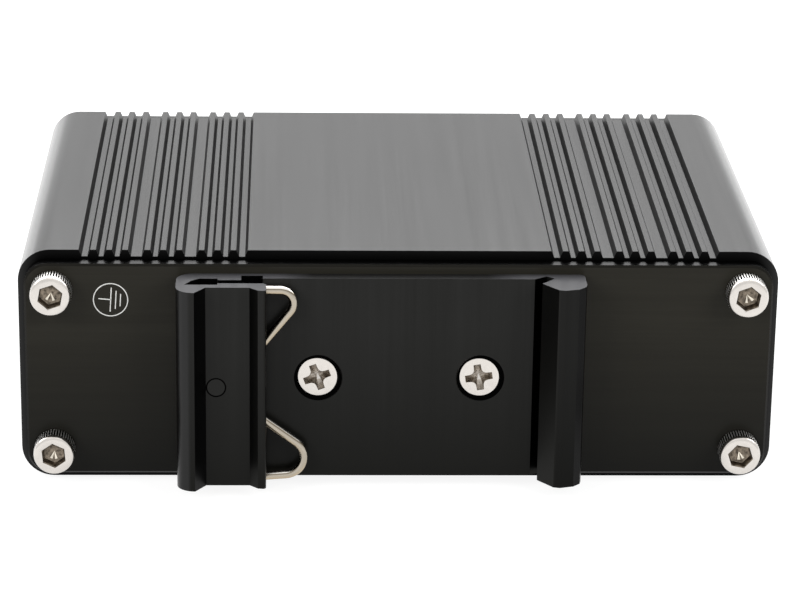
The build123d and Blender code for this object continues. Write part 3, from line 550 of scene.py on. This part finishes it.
def earth_sign():
    """Printed earth sign: a ring, a lead and three bars, a hair thick on the plate."""
    bm = bmesh.new()
    line = 0.14
    cx, cz, radius = -39.9, 27.14, 2.36
    thick = 0.02
    lean = math.radians(-3.5)

    def place(x, z, height):
        return ((cx + x) * MM, REAR_FACE - height * MM, (cz + z) * MM)
    steps = [2 * math.pi * i / 96 for i in range(96)]
    outer = circle(radius + line / 2, steps)
    inner = circle(radius - line / 2, steps)
    rows = join_rings(bm, [[place(x, z, 0) for x, z in outer], [place(x, z, thick) for x, z in outer],
                           [place(x, z, thick) for x, z in inner], [place(x, z, 0) for x, z in inner]])
    skin_rows(bm, [rows[-1], rows[0]])
    strokes = (
        ((-1.68, 0.06), (0.02, 0.02)), ((0.02, -1.74), (0.02, 1.76)), ((0.71, -1.3), (0.71, 1.36)),
        ((1.35, -0.87), (1.35, 0.94)),
    )
    for start, end in strokes:
        start, end = Vector(start), Vector(end)
        along = (end - start).normalized()
        across = Vector((-along.y, along.x)) * line / 2
        outline = [start - across, end - across, end + across, start + across]
        turned = [Matrix.Rotation(lean, 2) @ point for point in outline]
        rows = join_rings(bm, [[place(p.x, p.y, 0) for p in turned],
                               [place(p.x, p.y, thick) for p in turned]])
        for row in rows:
            bm.faces.new(row)
    return piece("earth_sign", bm, (print_white,))


def painted_gap_shade():
    """Black skins painted as shade in unlit gaps: round the sunk screw heads and round the pin's mouth."""
    bm = bmesh.new()
    steps = [2 * math.pi * i / 64 for i in range(64)]
    clip_z = (CLIP[0].z + CLIP[1].z) / 2
    base_y = REAR_FACE - 2.0 * MM
    panel_y = REAR_FACE - 5.85 * MM
    head_x = CLIP_SCREWS[1].x - 2.8 * MM
    pin_x = (PIN[0].x + PIN[1].x) / 2

    def ring(x0, y, radius):
        return [(x0 + x * MM, y, clip_z + z * MM) for x, z in circle(radius, steps)]
    for x0 in (-head_x, head_x):
        rows = join_rings(bm, [ring(x0, base_y - 0.015 * MM, 3.36), ring(x0, base_y + 0.53 * MM, 2.81),
                               ring(x0, base_y + 0.57 * MM, 2.84), ring(x0, base_y + 0.02 * MM, 3.37)])
        skin_rows(bm, [rows[-1], rows[0]])
    rows = join_rings(bm, [ring(pin_x, panel_y - 0.012 * MM, 1.22), ring(pin_x, panel_y - 0.012 * MM, 1.4),
                           ring(pin_x, panel_y + 0.1 * MM, 1.4), ring(pin_x, panel_y + 0.1 * MM, 1.22)])
    skin_rows(bm, [rows[-1], rows[0]])
    return piece("painted_gap_shade", bm, (painted_shade_black,))


def channel_painted_shade():
    """Painted shade: a black skin on the channel's far walls, which no light reaches."""
    bm = bmesh.new()
    wall = ((-29.4, 4.6), (-28.62, 3.04), (-27.57, 2.14), (-25.06, 2.14), (-25.06, 2.74), (-21.83, 2.74),
            (-21.83, 0.89), (-18.94, 0.89), (-18.94, 1.98))
    shift = Vector((0.02, 0.02))
    end = 0.02 * MM

    def row(z, move):
        return [((x + move.x) * MM, REAR_FACE - (depth + move.y) * MM, z) for x, depth in wall]
    rows = [[bm.verts.new(point) for point in row(z, move)]
            for z, move in ((CLIP[1].z - end, shift * 0), (CLIP[1].z - end, shift),
                            (CLIP[0].z + end, shift), (CLIP[0].z + end, shift * 0))]
    for a, b in zip(rows, rows[1:] + rows[:1]):
        for i in range(len(wall) - 1):
            bm.faces.new((a[i], a[i + 1], b[i + 1], b[i]))
    for i in (0, -1):
        bm.faces.new([r[i] for r in rows])
    return piece("channel_painted_shade", bm, (painted_shade_black,))


# Angles in degrees of the painted glints, two on each socket floor
PAINTED_GLINTS = ((245, 282), (234, 290), (268, 303), (266, 317))
socket_screws("rear_plate_screws", REAR_FACE, -1, (35, 19, 48, 20.5), PAINTED_GLINTS)
socket_screws("front_plate_screws", FRONT_FACE, 1, (3, 14, 25, 9), PAINTED_GLINTS)
cross_screws()
spring()
earth_sign()
painted_gap_shade()
channel_painted_shade()


# Light, floor and background
world = bpy.data.worlds.new("studio")
bpy.context.scene.world = world
world.use_nodes = True
wt = world.node_tree
wb = wt.nodes["Background"]
wb.inputs["Color"].default_value = (1.0, 1.0, 1.0, 1.0)
path = wt.nodes.new("ShaderNodeLightPath")


def seen(tree, light_path):
    """1 for camera, glossy and transmission rays."""
    a = tree.nodes.new("ShaderNodeMath")
    a.operation = "MAXIMUM"
    tree.links.new(light_path.outputs["Is Camera Ray"], a.inputs[0])
    tree.links.new(light_path.outputs["Is Glossy Ray"], a.inputs[1])
    b = tree.nodes.new("ShaderNodeMath")
    b.operation = "MAXIMUM"
    tree.links.new(a.outputs[0], b.inputs[0])
    tree.links.new(light_path.outputs["Is Transmission Ray"], b.inputs[1])
    return b.outputs[0]


wt.links.new(spread(wt, seen(wt, path), 0.5, 1.0, 0.0, 1.0), wb.inputs["Strength"])

floor_mesh = bpy.data.meshes.new("floor")
floor_mesh.from_pydata([(-6, -6, 0), (6, -6, 0), (6, 6, 0), (-6, 6, 0)], [], [(0, 1, 2, 3)])
floor = bpy.data.objects.new("floor", floor_mesh)
floor.location.z = cad_lo.z - 0.00005
bpy.context.scene.collection.objects.link(floor)
fm, ft, fp = shader("floor")
setup(fp, (0.25, 0.25, 0.25), 0.9, ior=1.1)
glow = ft.nodes.new("ShaderNodeEmission")
fpath = ft.nodes.new("ShaderNodeLightPath")
ft.links.new(spread(ft, seen(ft, fpath), 0.0, 0.88, 0.0, 1.0), glow.inputs["Strength"])
both = ft.nodes.new("ShaderNodeAddShader")
ft.links.new(fp.outputs[0], both.inputs[0])
ft.links.new(glow.outputs[0], both.inputs[1])
ft.links.new(both.outputs[0], ft.nodes["Material Output"].inputs["Surface"])
floor_mesh.materials.append(fm)


def area(name, place, aim, size, watts):
    data = bpy.data.lights.new(name, "AREA")
    data.shape = "RECTANGLE"
    data.size, data.size_y = size
    data.energy = watts
    o = bpy.data.objects.new(name, data)
    o.location = place
    o.rotation_mode = "QUATERNION"
    o.rotation_quaternion = (Vector(aim) - Vector(place)).to_track_quat("-Z", "Y")
    o.visible_camera = False
    bpy.context.scene.collection.objects.link(o)
    return o


area("top", (0.0, 0.0, 0.9), (0, 0, 0), (1.0, 1.0), 1.0)
area("behind", (0.0, 0.42, 0.36), (0, 0.42, 0), (1.6, 0.6), 10.0)
area("horizon", (0.0, 1.8, 0.1), (0, 0, 0.1), (4.0, 0.2), 1.8)
# The front lamps leave no glare on the top when it is seen from behind
area("left", (-0.8, -0.7, 0.6), (0, 0, 0.02), (0.6, 0.6), 6.0).visible_glossy = False
area("right", (0.8, -0.7, 0.6), (0, 0, 0.02), (0.6, 0.6), 6.0).visible_glossy = False
